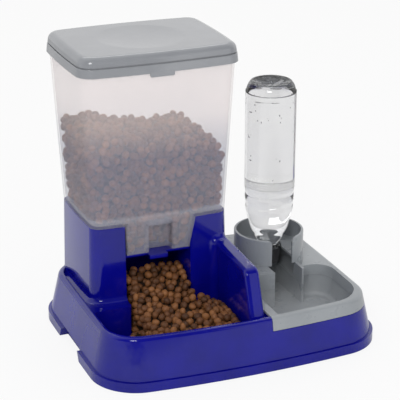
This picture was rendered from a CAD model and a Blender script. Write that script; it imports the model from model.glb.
import math
import random

import bmesh
import bpy
from mathutils import Euler, Matrix, Vector
from mathutils.bvhtree import BVHTree


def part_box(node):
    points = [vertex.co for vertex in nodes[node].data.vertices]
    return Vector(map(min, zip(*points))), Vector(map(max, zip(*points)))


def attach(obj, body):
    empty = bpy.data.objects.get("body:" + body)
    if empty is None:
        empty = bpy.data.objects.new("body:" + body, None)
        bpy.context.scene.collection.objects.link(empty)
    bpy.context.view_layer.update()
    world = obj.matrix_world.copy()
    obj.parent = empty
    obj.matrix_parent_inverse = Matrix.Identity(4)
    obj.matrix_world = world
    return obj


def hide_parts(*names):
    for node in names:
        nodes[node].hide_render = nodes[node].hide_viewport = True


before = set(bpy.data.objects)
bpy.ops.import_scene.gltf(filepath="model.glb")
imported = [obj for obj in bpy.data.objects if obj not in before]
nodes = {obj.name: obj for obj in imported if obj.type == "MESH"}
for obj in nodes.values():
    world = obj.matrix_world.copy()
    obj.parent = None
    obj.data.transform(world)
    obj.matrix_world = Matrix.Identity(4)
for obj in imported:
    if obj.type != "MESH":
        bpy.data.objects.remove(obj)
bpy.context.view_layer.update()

MM = 0.001

# Bottle, in mm
CUP_X = 96.0
CUP_Y = 31.0
BOTTLE_RADIUS = 31.75
BOTTLE_WALL = 0.45
BOTTLE_SHOULDER_Z = 281.0
BOTTLE_LIP_Z = 301.0
BOTTLE_WATER_Z = 166.6
WATER_SIDE_GAP = 0.75
WATER_FACE_DROP = 0.8

# Dry food, in m
PELLET_RADIUS = 0.0049
PELLET_SHAPES = 10
BOWL_PITCH = 0.0088
BOWL_DEPTH = 0.0155
HOPPER_PITCH = 0.0092
HOPPER_DEPTH = 0.0145

# Hopper's foot and rim in its colour ramp, in m
HOPPER_FOOT_Z = 0.11
HOPPER_RIM_Z = 0.35

# Noise of the materials, in lumps per m
MOTTLE = 22.0
GLOSS_PATCHES = 60.0

# Materials


def new_material(name):
    material = bpy.data.materials.new(name)
    material.use_nodes = True
    tree = material.node_tree
    shader = next(n for n in tree.nodes if n.type == "BSDF_PRINCIPLED")
    return material, tree, shader


def set_inputs(shader, **values):
    """Constants on a shader's sockets, named with _ for each space."""
    for name, value in values.items():
        shader.inputs[name.replace("_", " ")].default_value = value


def noise(tree, scale, detail=2.0):
    coords = tree.nodes.new("ShaderNodeTexCoord")
    texture = tree.nodes.new("ShaderNodeTexNoise")
    texture.inputs["Scale"].default_value = scale
    texture.inputs["Detail"].default_value = detail
    tree.links.new(coords.outputs["Object"], texture.inputs["Vector"])
    return texture.outputs["Fac"]


def ramp(tree, source, stops):
    node = tree.nodes.new("ShaderNodeValToRGB")
    elements = node.color_ramp.elements
    while len(elements) < len(stops):
        elements.new(0.5)
    for element, (position, colour) in zip(elements, stops):
        element.position = position
        element.color = (*colour, 1.0)
    tree.links.new(source, node.inputs["Fac"])
    return node.outputs["Color"]


def map_range(tree, source, start, end, low, high):
    node = tree.nodes.new("ShaderNodeMapRange")
    node.inputs["From Min"].default_value = start
    node.inputs["From Max"].default_value = end
    node.inputs["To Min"].default_value = low
    node.inputs["To Max"].default_value = high
    tree.links.new(source, node.inputs["Value"])
    return node


def spread(tree, source, low, high):
    """A noise value stretched to a roughness between low and high."""
    return map_range(tree, source, 0.3, 0.7, low, high).outputs["Result"]


def coordinate(tree, kind, axis):
    """One axis of a surface point's Object or Generated coordinates."""
    coords = tree.nodes.new("ShaderNodeTexCoord")
    split = tree.nodes.new("ShaderNodeSeparateXYZ")
    tree.links.new(coords.outputs[kind], split.inputs["Vector"])
    return split.outputs[axis]


def bump(tree, shader, source, strength, distance):
    node = tree.nodes.new("ShaderNodeBump")
    node.inputs["Strength"].default_value = strength
    node.inputs["Distance"].default_value = distance
    tree.links.new(source, node.inputs["Height"])
    tree.links.new(node.outputs["Normal"], shader.inputs["Normal"])


def plastic(name, dark, light, rough, grain, strength, coat=0.0, shine=0.5):
    """Moulded plastic: faint mottle, uneven gloss and a fine skin."""
    material, tree, shader = new_material(name)
    colour = ramp(tree, noise(tree, MOTTLE, 3.0), [(0.35, dark), (0.65, light)])
    tree.links.new(colour, shader.inputs["Base Color"])
    tree.links.new(spread(tree, noise(tree, GLOSS_PATCHES), *rough), shader.inputs["Roughness"])
    bump(tree, shader, noise(tree, grain), strength, 0.2 * MM)
    set_inputs(shader, Specular_IOR_Level=shine, Coat_Weight=coat, Coat_Roughness=0.04)
    return material


def blue_material():
    dark = (0.002, 0.0025, 0.2)
    light = (0.003, 0.0035, 0.25)
    return plastic("blue_gloss", dark, light, (0.1, 0.15), grain=260.0, strength=0.04, coat=0.5, shine=0.22)


def grey_material():
    dark = (0.285, 0.305, 0.325)
    light = (0.315, 0.335, 0.355)
    return plastic("grey_satin", dark, light, (0.26, 0.34), grain=700.0, strength=0.06, coat=0.2)


def lid_material():
    dark = (0.25, 0.26, 0.28)
    light = (0.275, 0.285, 0.305)
    return plastic("lid_gloss", dark, light, (0.16, 0.22), grain=400.0, strength=0.05, coat=0.4)


def cap_material():
    dark = (0.05, 0.05, 0.055)
    light = (0.075, 0.075, 0.08)
    return plastic("cap_dark", dark, light, (0.3, 0.4), grain=900.0, strength=0.1)


def hopper_material():
    """Milky see-through plastic: a pale line at its foot, cool over the food and warm above it."""
    material, tree, shader = new_material("hopper_milky")
    empty = (0.97, 0.87, 0.87)
    stops = [
        (0.0, (0.5, 0.5, 0.58)),
        (0.18, (0.56, 0.56, 0.66)),
        (0.215, (0.8, 0.8, 0.9)),
        (0.23, (0.5, 0.5, 0.61)),
        (0.52, (0.5, 0.5, 0.62)),
        (0.72, empty),
        (1.0, empty),
    ]
    up = coordinate(tree, "Object", "Z")
    height = map_range(tree, up, HOPPER_FOOT_Z, HOPPER_RIM_Z, 0.0, 1.0)
    tree.links.new(ramp(tree, height.outputs["Result"], stops), shader.inputs["Base Color"])
    tree.links.new(spread(tree, noise(tree, 50.0), 0.28, 0.36), shader.inputs["Roughness"])
    bump(tree, shader, noise(tree, 500.0), 0.04, 0.2 * MM)
    set_inputs(shader, Alpha=0.23)
    return material


def clear_material(name, face, edge, alpha, grain, strength):
    """Thin clear stuff, with another tint towards its edges."""
    material, tree, shader = new_material(name)
    weight = tree.nodes.new("ShaderNodeLayerWeight")
    weight.inputs["Blend"].default_value = 0.35
    stops = [(0.0, face), (0.55, face), (0.9, edge)]
    tree.links.new(ramp(tree, weight.outputs["Facing"], stops), shader.inputs["Base Color"])
    tree.links.new(spread(tree, noise(tree, 40.0), 0.02, 0.06), shader.inputs["Roughness"])
    bump(tree, shader, noise(tree, grain), strength, 0.8 * MM)
    set_inputs(shader, Alpha=alpha)
    return material


def glass_material(name, tint, ior, grain, strength):
    """Clear stuff that bends light, with a faint tint and slow waves."""
    material, tree, shader = new_material(name)
    stops = [(0.3, tint), (0.7, (1.0, 1.0, 1.0))]
    tree.links.new(ramp(tree, noise(tree, 30.0), stops), shader.inputs["Base Color"])
    bump(tree, shader, noise(tree, grain), strength, 0.8 * MM)
    set_inputs(shader, Transmission_Weight=1.0, IOR=ior, Roughness=0.0)
    return material


def bottle_material():
    return glass_material("bottle_clear", (0.97, 0.97, 0.98), ior=1.4, grain=45.0, strength=0.04)


def water_material():
    return glass_material("water_clear", (0.98, 0.985, 0.99), ior=1.33, grain=70.0, strength=0.05)


def surface_material():
    """Top of the bottle's water, seen at a low angle."""
    face = (0.3, 0.31, 0.33)
    edge = (0.16, 0.17, 0.19)
    return clear_material("water_surface", face, edge, alpha=0.5, grain=160.0, strength=0.9)


def drop_material():
    face = (0.5, 0.51, 0.54)
    edge = (0.1, 0.1, 0.12)
    return clear_material("water_drops", face, edge, alpha=0.45, grain=200.0, strength=0.1)


def basin_water_material():
    material, tree, shader = new_material("basin_water_clear")
    stops = [(0.3, (0.6, 0.63, 0.66)), (0.7, (0.7, 0.72, 0.74))]
    tree.links.new(ramp(tree, noise(tree, 30.0), stops), shader.inputs["Base Color"])
    bump(tree, shader, noise(tree, 55.0, 1.0), 0.25, MM)
    set_inputs(shader, Alpha=0.12, Roughness=0.03, IOR=1.33)
    return material


def food_material(name, dark, middle, light):
    """Baked dry food: each piece has a tone of its own, with a pitted crust."""
    material, tree, shader = new_material(name)
    tone = tree.nodes.new("ShaderNodeAttribute")
    tone.attribute_name = "tone"
    mix = tree.nodes.new("ShaderNodeMath")
    mix.operation = "MULTIPLY_ADD"
    crust_share = mix.inputs[1]
    crust_share.default_value = 0.45
    tree.links.new(noise(tree, 420.0, 4.0), mix.inputs[0])
    tree.links.new(tone.outputs["Fac"], mix.inputs[2])
    stops = [(0.25, dark), (0.6, middle), (0.95, light)]
    tree.links.new(ramp(tree, mix.outputs["Value"], stops), shader.inputs["Base Color"])
    tree.links.new(spread(tree, noise(tree, 300.0), 0.5, 0.75), shader.inputs["Roughness"])
    bump(tree, shader, noise(tree, 700.0, 5.0), 0.55, 0.6 * MM)
    return material


def dress(material, *names):
    for name in names:
        for place in nodes[name].material_slots:
            place.material = material


# Meshes


def link_mesh(name, mesh, material, smooth=True):
    piece = bpy.data.objects.new(name, mesh)
    bpy.context.scene.collection.objects.link(piece)
    mesh.materials.append(material)
    if smooth:
        mesh.shade_smooth()
        mesh.set_sharp_from_angle(angle=math.radians(45))
    return piece


def link_form(name, form, material):
    mesh = bpy.data.meshes.new(name)
    form.to_mesh(mesh)
    form.free()
    return link_mesh(name, mesh, material)


def spline(a, b, c, d, t):
    return b + 0.5 * t * (c - a + t * (2 * a - 5 * b + 4 * c - d + t * (3 * (b - c) + d - a)))


def smooth_line(points, per):
    """Points on a smooth curve through the given ones, with so many to each run."""
    line = []
    last = len(points) - 1
    for i in range(last):
        a, b = points[max(i - 1, 0)], points[i]
        c, d = points[i + 1], points[min(i + 2, last)]
        for k in range(per):
            t = k / per
            line.append(tuple(spline(a[j], b[j], c[j], d[j], t) for j in (0, 1)))
    return line + [points[-1]]


def turned_ring(form, radius, z, steps):
    """Corners round the bottle's axis, or one on it where the radius is nothing."""
    if radius < 0.01:
        return [form.verts.new((CUP_X * MM, CUP_Y * MM, z * MM))]
    ring = []
    for i in range(steps):
        angle = 2 * math.pi * i / steps
        x = CUP_X + radius * math.cos(angle)
        y = CUP_Y + radius * math.sin(angle)
        ring.append(form.verts.new((x * MM, y * MM, z * MM)))
    return ring


def lathe(name, profile, material, steps=96):
    """Turns a half outline, in mm, round the bottle's axis."""
    form = bmesh.new()
    rings = [turned_ring(form, radius, z, steps) for radius, z in profile]
    for low, high in zip(rings, rings[1:]):
        for i in range(steps):
            j = (i + 1) % steps
            corners = [low[i % len(low)], low[j % len(low)]]
            corners += [high[j % len(high)], high[i % len(high)]]
            face = list(dict.fromkeys(corners))
            if len(face) > 2:
                form.faces.new(face)
    bmesh.ops.recalc_face_normals(form, faces=form.faces)
    return link_form(name, form, material)


def node_form(name):
    """Copy of a node's shape with its split corners joined."""
    form = bmesh.new()
    form.from_mesh(nodes[name].data)
    bmesh.ops.remove_doubles(form, verts=form.verts, dist=0.02 * MM)
    bmesh.ops.recalc_face_normals(form, faces=form.faces)
    return form


def shrink(form, amount):
    form.normal_update()
    moves = [(v, v.normal.copy()) for v in form.verts]
    for v, normal in moves:
        v.co -= normal * amount


# Bottle and water


def bottle_side():
    """Wall of the upturned bottle from the neck ring to the base, with its grip waves."""
    points = [
        (12.6, 84.0),
        (13.0, 87.0),
        (16.2, 92.5),
        (20.0, 100.5),
        (23.4, 107.5),
        (26.2, 117.5),
        (28.2, 126.0),
        (29.7, 132.5),
        (30.2, 137.5),
        (29.9, 142.0),
        (30.8, 148.0),
        (31.0, 152.0),
        (30.6, 157.0),
        (31.4, 163.0),
        (31.7, 169.0),
        (BOTTLE_RADIUS, 200.0),
        (BOTTLE_RADIUS, BOTTLE_SHOULDER_Z),
        (31.2, 288.0),
        (29.4, 295.0),
        (26.4, 300.2),
        (24.6, 301.4),
    ]
    return smooth_line(points, per=5)


def bottle_base(drop):
    """Dish of the bottle's base, from its lip to the middle."""
    points = [
        (23.0, BOTTLE_LIP_Z),
        (21.0, 299.4),
        (15.0, 295.6),
        (9.0, 292.8),
        (4.0, 291.8),
        (0.0, 291.6),
    ]
    return [(r, z - drop) for r, z in smooth_line(points, per=4)]


def make_bottle(material):
    wall = BOTTLE_WALL
    mouth = [(0.0, 65.9), (11.2, 65.9), (12.5, 66.2), (12.5, 81.8)]
    neck_ring = [(16.3, 82.1), (16.35, 83.8)]
    outer = mouth + neck_ring + bottle_side() + bottle_base(0.0)
    inner = bottle_base(wall)[::-1]
    inner += [(r - wall, min(z, BOTTLE_LIP_Z - wall)) for r, z in bottle_side()[::-1]]
    inner += [(11.3, 84.0), (11.3, 66.6), (0.0, 66.6)]
    return lathe("bottle_shell", outer + inner, material)


def make_bottle_water(material):
    foot = 85.2
    side = [(r - WATER_SIDE_GAP, z) for r, z in bottle_side() if 84.5 < z < BOTTLE_WATER_Z]
    profile = [(0.0, foot), (11.0, foot)] + side
    profile.append((side[-1][0], BOTTLE_WATER_Z - WATER_FACE_DROP))
    return lathe("bottle_water_body", profile, material)


def make_water_surface(material):
    """Upper face of the bottle's water, curling up a little at the wall."""
    radius = 30.6
    flat_z = BOTTLE_WATER_Z - WATER_FACE_DROP
    profile = [(radius, BOTTLE_WATER_Z), (radius - 0.6, BOTTLE_WATER_Z - 0.45)]
    profile += [(radius - 2.0, BOTTLE_WATER_Z - 0.75), (radius * 0.5, flat_z), (0.0, flat_z)]
    return lathe("bottle_water_surface", profile, material)


def wall_inside(z):
    """Radius at which a drop sits on the bottle's wall."""
    if z < BOTTLE_SHOULDER_Z:
        return BOTTLE_RADIUS - BOTTLE_WALL
    return 30.6 - (z - 284.0) * 0.1


def make_droplets(material):
    """Small drops on the bottle's wall above the water, more of them near its top."""
    dice = random.Random(5)
    drop_count = 70
    sink = 0.15
    form = bmesh.new()
    for _ in range(drop_count):
        angle = dice.uniform(0.0, 2 * math.pi)
        z = dice.choice([dice.uniform(176.0, 284.0), dice.uniform(255.0, 290.0)])
        size = dice.uniform(0.35, 1.0)
        out = Matrix.Translation(((wall_inside(z) - sink) * MM, 0, 0))
        place = Matrix.Rotation(angle, 4, "Z") @ out
        place = Matrix.Translation((CUP_X * MM, CUP_Y * MM, z * MM)) @ place
        stretch = Matrix.Diagonal((0.45, 1.0, dice.uniform(1.0, 1.7), 1.0))
        bmesh.ops.create_icosphere(form, subdivisions=2, radius=size * MM, matrix=place @ stretch)
    return link_form("bottle_droplets", form, material)


def make_basin_water(material):
    form = node_form("basin_water")
    shrink(form, 0.25 * MM)
    return link_form("basin_water_body", form, material)


# Dry food


def pellet_shape(dice, radius):
    """One piece of dry food: a dented, slightly flat lump."""
    lump_count = 5
    flatness = 0.86
    form = bmesh.new()
    bmesh.ops.create_icosphere(form, subdivisions=3, radius=1.0)
    lumps = [Vector([dice.uniform(-1, 1) for _ in range(3)]).normalized() for _ in range(lump_count)]
    swells = [dice.uniform(0.06, 0.16) * dice.choice((-1, 1)) for _ in range(lump_count)]
    for v in form.verts:
        direction = v.co.normalized()
        swell = sum(s * max(direction.dot(lump), 0.0) ** 3 for s, lump in zip(swells, lumps))
        v.co = direction * (1.0 + swell)
        v.co.z *= flatness
    bmesh.ops.scale(form, vec=(radius, radius, radius), verts=form.verts)
    return form


def form_lists(form):
    """Corner places of a form and the corner numbers of its faces."""
    form.verts.index_update()
    verts = [v.co.copy() for v in form.verts]
    faces = [[v.index for v in f.verts] for f in form.faces]
    return verts, faces


def pellet_shapes(seed, radius):
    dice = random.Random(seed)
    shapes = []
    for _ in range(PELLET_SHAPES):
        form = pellet_shape(dice, radius)
        shapes.append(form_lists(form))
        form.free()
    return shapes


def candidates(low, high, step, dice):
    """Jittered points that fill a box, in a random order."""
    size = high - low
    count = [int(side / step) + 1 for side in size]
    spots = []
    for i in range(count[0]):
        for j in range(count[1]):
            for k in range(count[2]):
                jitter = [dice.random() * step for _ in range(3)]
                spots.append(low + Vector((i * step, j * step, k * step)) + Vector(jitter))
    dice.shuffle(spots)
    return spots


def apart(spots, gap):
    """The spots that keep at least the gap from those kept before them."""
    around = (-1, 0, 1)
    kept = []
    cells = {}
    for spot in spots:
        home = tuple(int(c // gap) for c in spot)
        near = [
            other
            for i in around
            for j in around
            for k in around
            for other in cells.get((home[0] + i, home[1] + j, home[2] + k), ())
        ]
        if all((spot - other).length > gap for other in near):
            cells.setdefault(home, []).append(spot)
            kept.append(spot)
    return kept


def is_inside(tree, spot):
    """True where a ray upwards meets the heap's outside an odd number of times."""
    most_crossings = 20
    nearly_up = Vector((0.013, 0.007, 1.0))
    past_face = Vector((0.0, 0.0, 0.01 * MM))
    crossings = 0
    start = spot.copy()
    while crossings < most_crossings:
        place = tree.ray_cast(start, nearly_up)[0]
        if place is None:
            break
        crossings += 1
        start = place + past_face
    return crossings % 2 == 1


def inside_spots(tree, low, high, pitch, depth, clearance, dice):
    """Places for pieces in the outer layers of a heap, kept clear of its outside."""
    spots = []
    for start in candidates(low, high, pitch * 0.55, dice):
        place, _, _, distance = tree.find_nearest(start)
        if distance > depth or not is_inside(tree, start):
            continue
        spot = start
        for _ in range(2):
            if distance < clearance:
                spot = spot + (spot - place).normalized() * (clearance - distance)
                place, _, _, distance = tree.find_nearest(spot)
        if is_inside(tree, spot):
            spots.append(spot)
    return apart(spots, pitch * 0.8)


def heap_height(y):
    """Top of the bowl's heap along its middle."""
    line = [(-0.11, 0.049), (-0.06, 0.06), (-0.02, 0.072), (0.018, 0.088)]
    for (y0, z0), (y1, z1) in zip(line, line[1:]):
        if y <= y1:
            return z0 + (z1 - z0) * (y - y0) / (y1 - y0)
    return line[-1][1]


def slope_spots(dice):
    """Loose pieces that lie on the low right part of the heap, up against its middle."""
    rows, columns = 8, 4
    front_y, row_pitch = -0.1, 0.0086
    left_x, pitch = -0.0255, 0.0078
    floor_z, lowest_z, heap_foot_z = 0.046, 0.045, 0.049
    shake = 0.0011
    spots = []
    for row in range(rows):
        y = front_y + row * row_pitch
        rise = heap_height(y) - heap_foot_z
        for column in range(columns):
            x = left_x + column * pitch
            share = 1.0 - (column + 0.6) / columns
            z = floor_z + rise * share
            while z > lowest_z:
                jitter = [dice.uniform(-shake, shake) for _ in range(3)]
                spots.append(Vector((x, y, z)) + Vector(jitter))
                z -= pitch
    return spots


def scatter(spots, shapes, dice):
    """The pieces at their spots as one mesh, each turned, sized and toned at random."""
    verts, faces, tones = [], [], []
    for spot in spots:
        shape, shape_faces = dice.choice(shapes)
        turn = Euler([dice.uniform(0, 2 * math.pi) for _ in range(3)]).to_matrix()
        size = dice.uniform(0.88, 1.04)
        start = len(verts)
        tone = dice.uniform(0.12, 0.62)
        for v in shape:
            verts.append(spot + turn @ v * size)
            tones.append(tone)
        faces += [[start + i for i in face] for face in shape_faces]
    return verts, faces, tones


def make_food(name, node, materials, pitch, depth, seed, extra=()):
    """A heap of single pieces over a dark core, in place of the plain heap."""
    radius = PELLET_RADIUS
    dice = random.Random(seed)
    form = node_form(node)
    tree = BVHTree.FromBMesh(form)
    low, high = (Vector(c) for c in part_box(node))
    spots = inside_spots(tree, low, high, pitch, depth, radius * 1.06, dice)
    spots = apart(spots + list(extra), pitch * 0.78)
    verts, faces, tones = scatter(spots, pellet_shapes(seed + 1, radius), dice)
    shrink(form, depth - radius * 0.2)
    core_verts, core_faces = form_lists(form)
    form.free()
    start, first_core_face = len(verts), len(faces)
    verts += core_verts
    tones += [0.0] * len(core_verts)
    faces += [[start + i for i in face] for face in core_faces]
    mesh = bpy.data.meshes.new(name)
    mesh.from_pydata(verts, [], faces)
    mesh.attributes.new("tone", "FLOAT", "POINT").data.foreach_set("value", tones)
    pellet_material, core_material = materials
    piece = link_mesh(name, mesh, pellet_material)
    mesh.materials.append(core_material)
    for polygon in mesh.polygons[first_core_face:]:
        polygon.material_index = 1
    mesh.update()
    return piece


# Pieces and their bodies


def dress_parts():
    dress(blue_material(), "base_skirt", "food_bowl", "hopper_tower", "divider_wall", "flow_gate")
    dress(grey_material(), "water_tray", "bottle_cup")
    dress(lid_material(), "lid")
    dress(hopper_material(), "hopper")
    dress(cap_material(), "bottle_cap")


def make_contents():
    brown = ((0.045, 0.016, 0.005), (0.17, 0.062, 0.017), (0.32, 0.13, 0.04))
    deep_brown = ((0.02, 0.009, 0.004), (0.035, 0.016, 0.007), (0.05, 0.022, 0.01))
    materials = (food_material("food_brown", *brown), food_material("food_core", *deep_brown))
    loose = slope_spots(random.Random(3))
    bowl = make_food("bowl_kibble", "bowl_food", materials, BOWL_PITCH, BOWL_DEPTH, 11, loose)
    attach(bowl, "base")
    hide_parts("bowl_food")
    stock = make_food("hopper_kibble", "hopper_food", materials, HOPPER_PITCH, HOPPER_DEPTH, 23)
    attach(stock, "hopper")
    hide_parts("hopper_food")


def make_water_side():
    bottle = make_bottle(bottle_material())
    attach(bottle, "bottle")
    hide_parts("bottle")
    fill = make_bottle_water(water_material())
    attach(fill, "bottle")
    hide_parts("bottle_water")
    surface = make_water_surface(surface_material())
    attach(surface, "bottle")
    drops = make_droplets(drop_material())
    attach(drops, "bottle")
    basin = make_basin_water(basin_water_material())
    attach(basin, "tray")
    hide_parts("basin_water")


# Stage


def floor_material():
    """White floor: bright to the camera, and still taking the soft shadow."""
    material, tree, shader = new_material("floor_white")
    set_inputs(shader, Base_Color=(0.85, 0.85, 0.85, 1.0), Roughness=0.9, Specular_IOR_Level=0.0)
    glow = tree.nodes.new("ShaderNodeEmission")
    glow.inputs["Strength"].default_value = 1.0
    path = tree.nodes.new("ShaderNodeLightPath")
    share = tree.nodes.new("ShaderNodeMath")
    share.operation = "MULTIPLY"
    glow_share = share.inputs[1]
    glow_share.default_value = 0.86
    tree.links.new(path.outputs["Is Camera Ray"], share.inputs[0])
    mix = tree.nodes.new("ShaderNodeMixShader")
    tree.links.new(share.outputs["Value"], mix.inputs["Fac"])
    tree.links.new(shader.outputs["BSDF"], mix.inputs[1])
    tree.links.new(glow.outputs["Emission"], mix.inputs[2])
    output = next(n for n in tree.nodes if n.type == "OUTPUT_MATERIAL")
    tree.links.new(mix.outputs["Shader"], output.inputs["Surface"])
    return material


def make_floor():
    mesh = bpy.data.meshes.new("floor")
    reach = 6.0
    z = -0.5 * MM
    corners = [(-reach, -reach, z), (reach, -reach, z), (reach, reach, z), (-reach, reach, z)]
    mesh.from_pydata(corners, [], [(0, 1, 2, 3)])
    floor = link_mesh("floor", mesh, floor_material(), smooth=False)


def mix_values(tree, share, first, second):
    node = tree.nodes.new("ShaderNodeMix")
    tree.links.new(share, node.inputs["Factor"])
    for place, value in (("A", first), ("B", second)):
        if isinstance(value, float):
            node.inputs[place].default_value = value
        else:
            tree.links.new(value, node.inputs[place])
    return node.outputs["Result"]


def mirrored_level(tree):
    """What a mirror shows: the white backdrop behind and beside the object, a dim room in front."""
    front_level, back_level = 0.08, 1.0
    towards_back = coordinate(tree, "Generated", "Y")
    node = map_range(tree, towards_back, -0.45, 0.25, front_level, back_level)
    node.interpolation_type = "SMOOTHSTEP"
    return node.outputs["Result"]


def make_world():
    """White to the camera and through clear plastic, a plain grey level for the light."""
    world = bpy.data.worlds.new("studio")
    bpy.context.scene.world = world
    world.use_nodes = True
    tree = world.node_tree
    background = next(n for n in tree.nodes if n.type == "BACKGROUND")
    background.inputs["Color"].default_value = (1.0, 1.0, 1.0, 1.0)
    path = tree.nodes.new("ShaderNodeLightPath")
    seen = tree.nodes.new("ShaderNodeMath")
    seen.operation = "MAXIMUM"
    tree.links.new(path.outputs["Is Camera Ray"], seen.inputs[0])
    tree.links.new(path.outputs["Is Transmission Ray"], seen.inputs[1])
    light_level, seen_level = 0.68, 1.0
    unseen = mix_values(tree, path.outputs["Is Glossy Ray"], light_level, mirrored_level(tree))
    level = mix_values(tree, seen.outputs["Value"], unseen, seen_level)
    tree.links.new(level, background.inputs["Strength"])


def area_light(name, place, target, size, power):
    data = bpy.data.lights.new(name, "AREA")
    data.shape = "RECTANGLE"
    data.size, data.size_y = size
    data.energy = power
    lamp = bpy.data.objects.new(name, data)
    bpy.context.scene.collection.objects.link(lamp)
    lamp.location = place
    direction = Vector(target) - Vector(place)
    lamp.rotation_euler = direction.to_track_quat("-Z", "Y").to_euler()


def make_lights():
    area_light("key_left", (-1.0, -1.6, 1.35), (0.0, 0.0, 0.12), (0.6, 0.6), 15.0)
    area_light("panel_front_right", (1.05, -1.5, 0.62), (0.1, 0.0, 0.12), (1.15, 1.3), 3.2)
    area_light("top_back", (0.3, 1.3, 1.9), (0.0, 0.0, 0.2), (1.4, 0.7), 6.0)


def make_camera():
    data = bpy.data.cameras.new("camera")
    data.lens = 134.4
    data.sensor_width = 36.0
    camera = bpy.data.objects.new("camera", data)
    bpy.context.scene.collection.objects.link(camera)
    camera.location = (-0.6455, -1.5746, 0.8267)
    back = Vector((-0.3486, -0.8651, 0.3607))
    camera.rotation_euler = back.to_track_quat("Z", "Y").to_euler()
    bpy.context.scene.camera = camera


def set_view():
    bpy.context.scene.view_settings.view_transform = "Standard"
    cycles = bpy.context.scene.cycles
    cycles.transparent_max_bounces = 32
    cycles.max_bounces = 24
    cycles.transmission_bounces = 24


dress_parts()
make_contents()
make_water_side()
make_floor()
make_world()
make_lights()
make_camera()
set_view()
